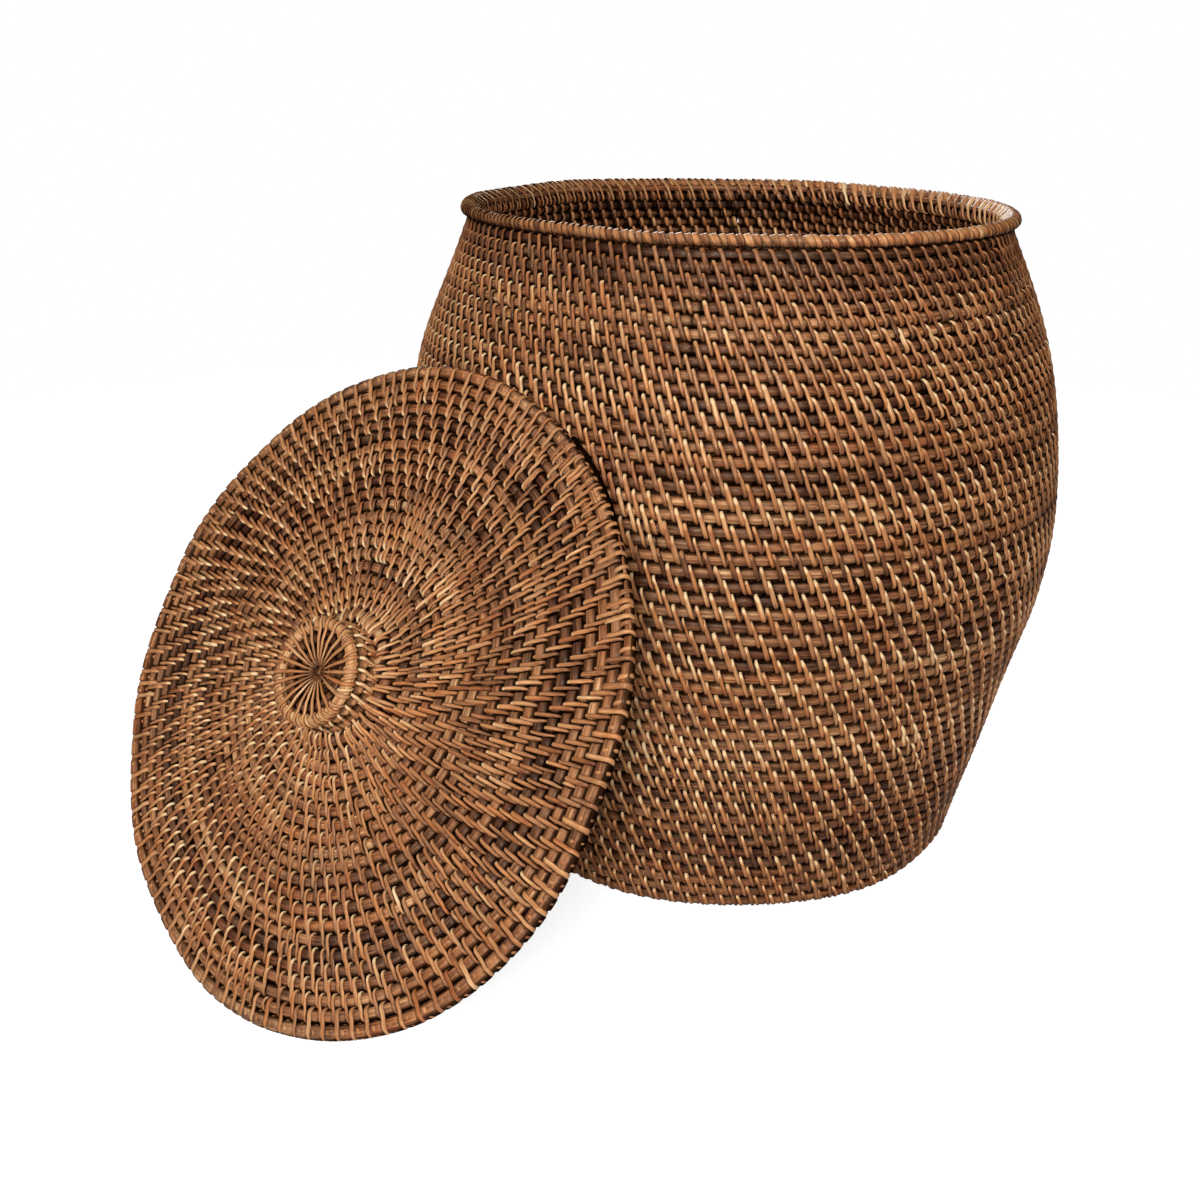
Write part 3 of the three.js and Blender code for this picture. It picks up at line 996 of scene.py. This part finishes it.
share = np.linspace(0, 1, hoop_steps)
drift = [lid_slant - hoop_spacing, -1.2 * mm, 0.4 * mm, lid_slant]
sideways = np.interp(share, [0, 0.42, 0.55, 1], drift)
count = len(hoop_heads)
hoop_middle = np.full(count, lid_edges[-2])
hoop_width = strip_width * np.clip(rng.normal(1.02, 0.1, count), 0.7, 1.3)
# Painted shade at both ends of each wrap, where it dives between the rows
shade = smooth_step((np.abs(share - 0.5) - 0.42) / 0.08)
lay(
    edge_strands, lid, hoop_heads, hoop_middle, around_edge, sideways, hoop_width,
    rng.normal(0.62, 0.09, count), shade=shade, taper=1, thickness=wrap_thickness,
)
beside_distance = 5 * mm
beside = hoop_heads + beside_distance / lid_radius
sideways = -1.2 * mm * np.cos(np.linspace(0, full_turn, beside_steps))
lay(
    edge_strands, lid, beside, hoop_middle, around_hoop, sideways, hoop_width * 0.9,
    rng.normal(0.58, 0.09, count), shade=0, taper=1, thickness=wrap_thickness,
)
dress(edge_strands.build("lid_edge_binding", strip_finish), "lid", "rim_binding", "lid_edge_hoop")

# The ring under the lid, wound with a strip
seat_half = seat_ring_diameter / 2
seat_radius = neck[0] - wall_thickness - seat_ring_clearance - seat_half
seat_height = float(lid_middle(seat_radius)) - inset - seat_half - seam_gap
seat_line = [(seat_radius - seat_half, seat_height), (seat_radius + seat_half, seat_height)]
seat = FlatFace(seat_line, [0, seat_ring_diameter], 0, place=lid_place)
seat_core = seat_half - 0.7 * mm
seat_cane = ring(seat, 0, seat_half, seat_core, "lid_seat_cane", 0.45)
dress(seat_cane, "lid", "lid_cane", "lid_seat_ring")
seat_strands = Strands(strip_outline)
seat_steps = 24
seat_wrap = path_over([(0, 0, seat_core + 0.25 * strip_thickness, 80, 450)], seat_steps)
seat_count = 180
seat_angle = np.arange(seat_count) * full_turn / seat_count
seat_strip_width = 5 * mm
lay(
    seat_strands, seat, seat_angle, np.full(seat_count, seat_half), seat_wrap,
    5.5 * mm * np.linspace(0, 1, seat_steps), seat_strip_width,
    rng.normal(0.5, 0.1, seat_count), taper=1, shade=0,
)
dress(seat_strands.build("lid_seat_binding", strip_finish), "lid", "lid_cane", "lid_seat_ring")

# The knob's wall: coils one on the other, with the end roll on top
knob_foot = wall_thickness / 2 + lid_dome_rise
knob_row = cane_diameter + seam_gap
knob_rows = knob_coil_count + 1
knob_middle = knob_radius - cane_diameter / 2
knob_top = knob_foot + knob_rows * knob_row
knob_slant = -4.2 * mm
knob_stitch_count = 26
cap_stitch_counts = [9, 16, 24]
knob_wall = Face(
    [(knob_middle, knob_foot), (knob_middle, knob_top)],
    np.linspace(0, knob_rows * knob_row, knob_rows + 1), knob_slant, place=lid_place,
    hook=0.3 * mm, neighbour=1.6 * mm, twist=0.3, nip=(0.3, 1.6 * mm),
)
set_stitches(knob_wall, np.full(knob_rows, knob_stitch_count))
knob_courses = [(f"knob_coil_{index + 1}", [index + 1]) for index in range(knob_coil_count)]
weave(knob_wall, knob_courses, "lid", "knob_binding", [0.75, 0.9], strip_shift=[(0, 0.14), (1, 0.14)])
roll_middle = (knob_rows - 0.5) * knob_row
roll_radius = cane_diameter / 2 - 0.5 * mm
end_roll = ring(knob_wall, 0, roll_middle, roll_radius, "knob_end_roll_cane", 0.95)
dress(end_roll, "lid", "knob_binding", "knob_end_roll")

# The knob's face: a dish of coils under strips that run out from the middle and over the end roll
cap_rows = 3
roll_height = knob_top - cane_diameter / 2
dish_depth = 5.5 * mm
dish_edge_depth = 1.5 * mm
dish_height = roll_height - dish_depth
dish_edge = (knob_bore_radius, roll_height - dish_edge_depth)
dish_line = [(0, dish_height), (0.35 * knob_bore_radius, dish_height), dish_edge]
cap = FlatFace(dish_line, np.linspace(0, 28 * mm, cap_rows + 1), lid_slant, place=lid_place)
set_stitches(cap, cap_stitch_counts)
# The dish's canes have a low tone, painted shade in the hollow under the spokes
cap_cane = canes(cap, [0, 1, 2, 3], one_tone(0.3), "knob_cap_cane")
dress(cap_cane, "lid", "knob_binding", "knob_cap")
dress(seam_cord(cap, [1, 2, 3], "knob_cap_cord"), "lid", "knob_binding", "knob_cap")
roll_way = roll_height - knob_foot
hole = 2.2 * mm
radial_arcs = [
    (roll_way - 4.6 * mm, hole - knob_middle, 0, 0, 1),
    (roll_way + 0.2 * mm, 9 * mm - knob_middle, 0, 0, 1),
    (roll_way + 3.2 * mm, 20 * mm - knob_middle, 0, 0, 1),
    (roll_way, 0, strip_lift, -38, 172),
]
radial_steps = 30
share = np.linspace(0, 1, radial_steps)
radial_strands = Strands(strip_outline)
radial_angle = full_turn * np.arange(radial_strip_count) / radial_strip_count
radial_angle = radial_angle + rng.normal(0, 0.03, radial_strip_count)
radial_way = np.zeros(radial_strip_count)
# Painted shade towards the hub and where each strip dives in past the end roll
lay(
    radial_strands, knob_wall, radial_angle, radial_way, path_over(radial_arcs, radial_steps),
    2 * mm * smooth_step((share - 0.65) / 0.35), radial_strip_width,
    rng.normal(0.62, 0.08, radial_strip_count), taper=0.3 + 0.7 * smooth_step(share / 0.6),
    shade=0.75 * near_start(share, 0.3) + smooth_step((share - 0.93) / 0.07),
    thickness=1.1 * mm,
)
beside = radial_angle + full_turn / radial_strip_count * 0.3
beside_arcs = [(roll_way, 0, strip_lift - 0.2 * mm, -60, 172)]
# Painted shade where each short wrap starts
lay(
    radial_strands, knob_wall, beside, radial_way, path_over(beside_arcs, radial_steps),
    4 * mm * smooth_step(share), short_radial_strip_width,
    rng.normal(0.62, 0.1, radial_strip_count), taper=1, shade=near_start(share, 0.1),
    thickness=wrap_thickness,
)
face_binding = radial_strands.build("knob_face_binding", strip_finish)
dress(face_binding, "lid", "knob_binding", "knob_cap", "knob_end_roll")

# The knob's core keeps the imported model's shape
core_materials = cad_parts["knob_core"].data.materials
core_materials.clear()
core_materials.append(core_finish)

# The camera, at the photograph's place
camera_place = Vector((0.670, -0.908, 0.592))
camera_yaw = 0.7244
camera_pitch = math.radians(14.86)
camera_roll = 0.0143
camera_data = bpy.data.cameras.new("camera")
camera_data.lens = 44.8
camera_data.sensor_width = 36
camera_data.shift_y = -0.1333
camera = placed("camera", camera_data)
aim = Matrix.Rotation(camera_yaw, 4, "Z") @ Matrix.Rotation(math.pi / 2 - camera_pitch, 4, "X")
camera.matrix_world = Matrix.Translation(camera_place) @ aim @ Matrix.Rotation(camera_roll, 4, "Z")
bpy.context.scene.camera = camera


def floor_material():
    """Pale and matt, with a glow for the camera only. Far from the object it fades to plain white."""
    material = bpy.data.materials.new("floor_paint")
    tree = empty_tree(material)
    seen = node(tree, "ShaderNodeLightPath").outputs["Is Camera Ray"]
    glow = node(tree, "ShaderNodeMath", {0: seen, 1: 0.8}, operation="MULTIPLY")
    shader = node(tree, "ShaderNodeBsdfPrincipled", {
        "Base Color": (0.5, 0.5, 0.5, 1),
        "Roughness": 0.9,
        "Specular IOR Level": 0.1,
        "Emission Color": (1, 1, 1, 1),
        "Emission Strength": glow.outputs[0],
    })
    place = node(tree, "ShaderNodeTexCoord").outputs["Object"]
    distance = node(tree, "ShaderNodeVectorMath", {0: place}, operation="LENGTH").outputs["Value"]
    inputs = {"Value": distance, "From Min": 0.7, "From Max": 1.8}
    fade = node(tree, "ShaderNodeMapRange", inputs, interpolation_type="SMOOTHSTEP")
    white = node(tree, "ShaderNodeEmission", {"Strength": seen})
    inputs = {0: fade.outputs[0], 1: shader.outputs[0], 2: white.outputs[0]}
    mix = node(tree, "ShaderNodeMixShader", inputs)
    node(tree, "ShaderNodeOutputMaterial", {"Surface": mix.outputs[0]})
    return material


def make_floor():
    mesh = bpy.data.meshes.new("floor")
    reach = 12
    corners = [(-reach, -reach, 0), (reach, -reach, 0), (reach, reach, 0), (-reach, reach, 0)]
    mesh.from_pydata(corners, [], [(0, 1, 2, 3)])
    mesh.materials.append(floor_material())
    placed("floor", mesh)


def area_light(name, place, target, size, power):
    light = bpy.data.lights.new(name, "AREA")
    light.shape = "DISK"
    light.size = size
    light.energy = power
    lamp = placed(name, light)
    lamp.location = place
    lamp.rotation_euler = (Vector(target) - Vector(place)).to_track_quat("-Z", "Y").to_euler()


def make_world():
    """Plain white for the camera, and a faint even light on the object."""
    world = bpy.data.worlds.new("studio")
    bpy.context.scene.world = world
    tree = empty_tree(world)
    white = node(tree, "ShaderNodeBackground", {"Color": (1, 1, 1, 1)})
    fill = node(tree, "ShaderNodeBackground", {"Color": (1, 1, 1, 1), "Strength": 0.055})
    seen = node(tree, "ShaderNodeLightPath").outputs["Is Camera Ray"]
    mix = node(tree, "ShaderNodeMixShader", {0: seen, 1: fill.outputs[0], 2: white.outputs[0]})
    node(tree, "ShaderNodeOutputWorld", {"Surface": mix.outputs[0]})


make_floor()
make_world()
area_light("key", (1.5, -2.1, 1.35), (0, -0.1, 0.2), 0.7, 70)
area_light("fill", (-0.6, -1.6, 2.2), (0, -0.1, 0.2), 1.4, 9)
area_light("back", (-1.5, 1.5, 1.4), (0, 0, 0.3), 1.2, 26)
bpy.context.scene.view_settings.view_transform = "Standard"
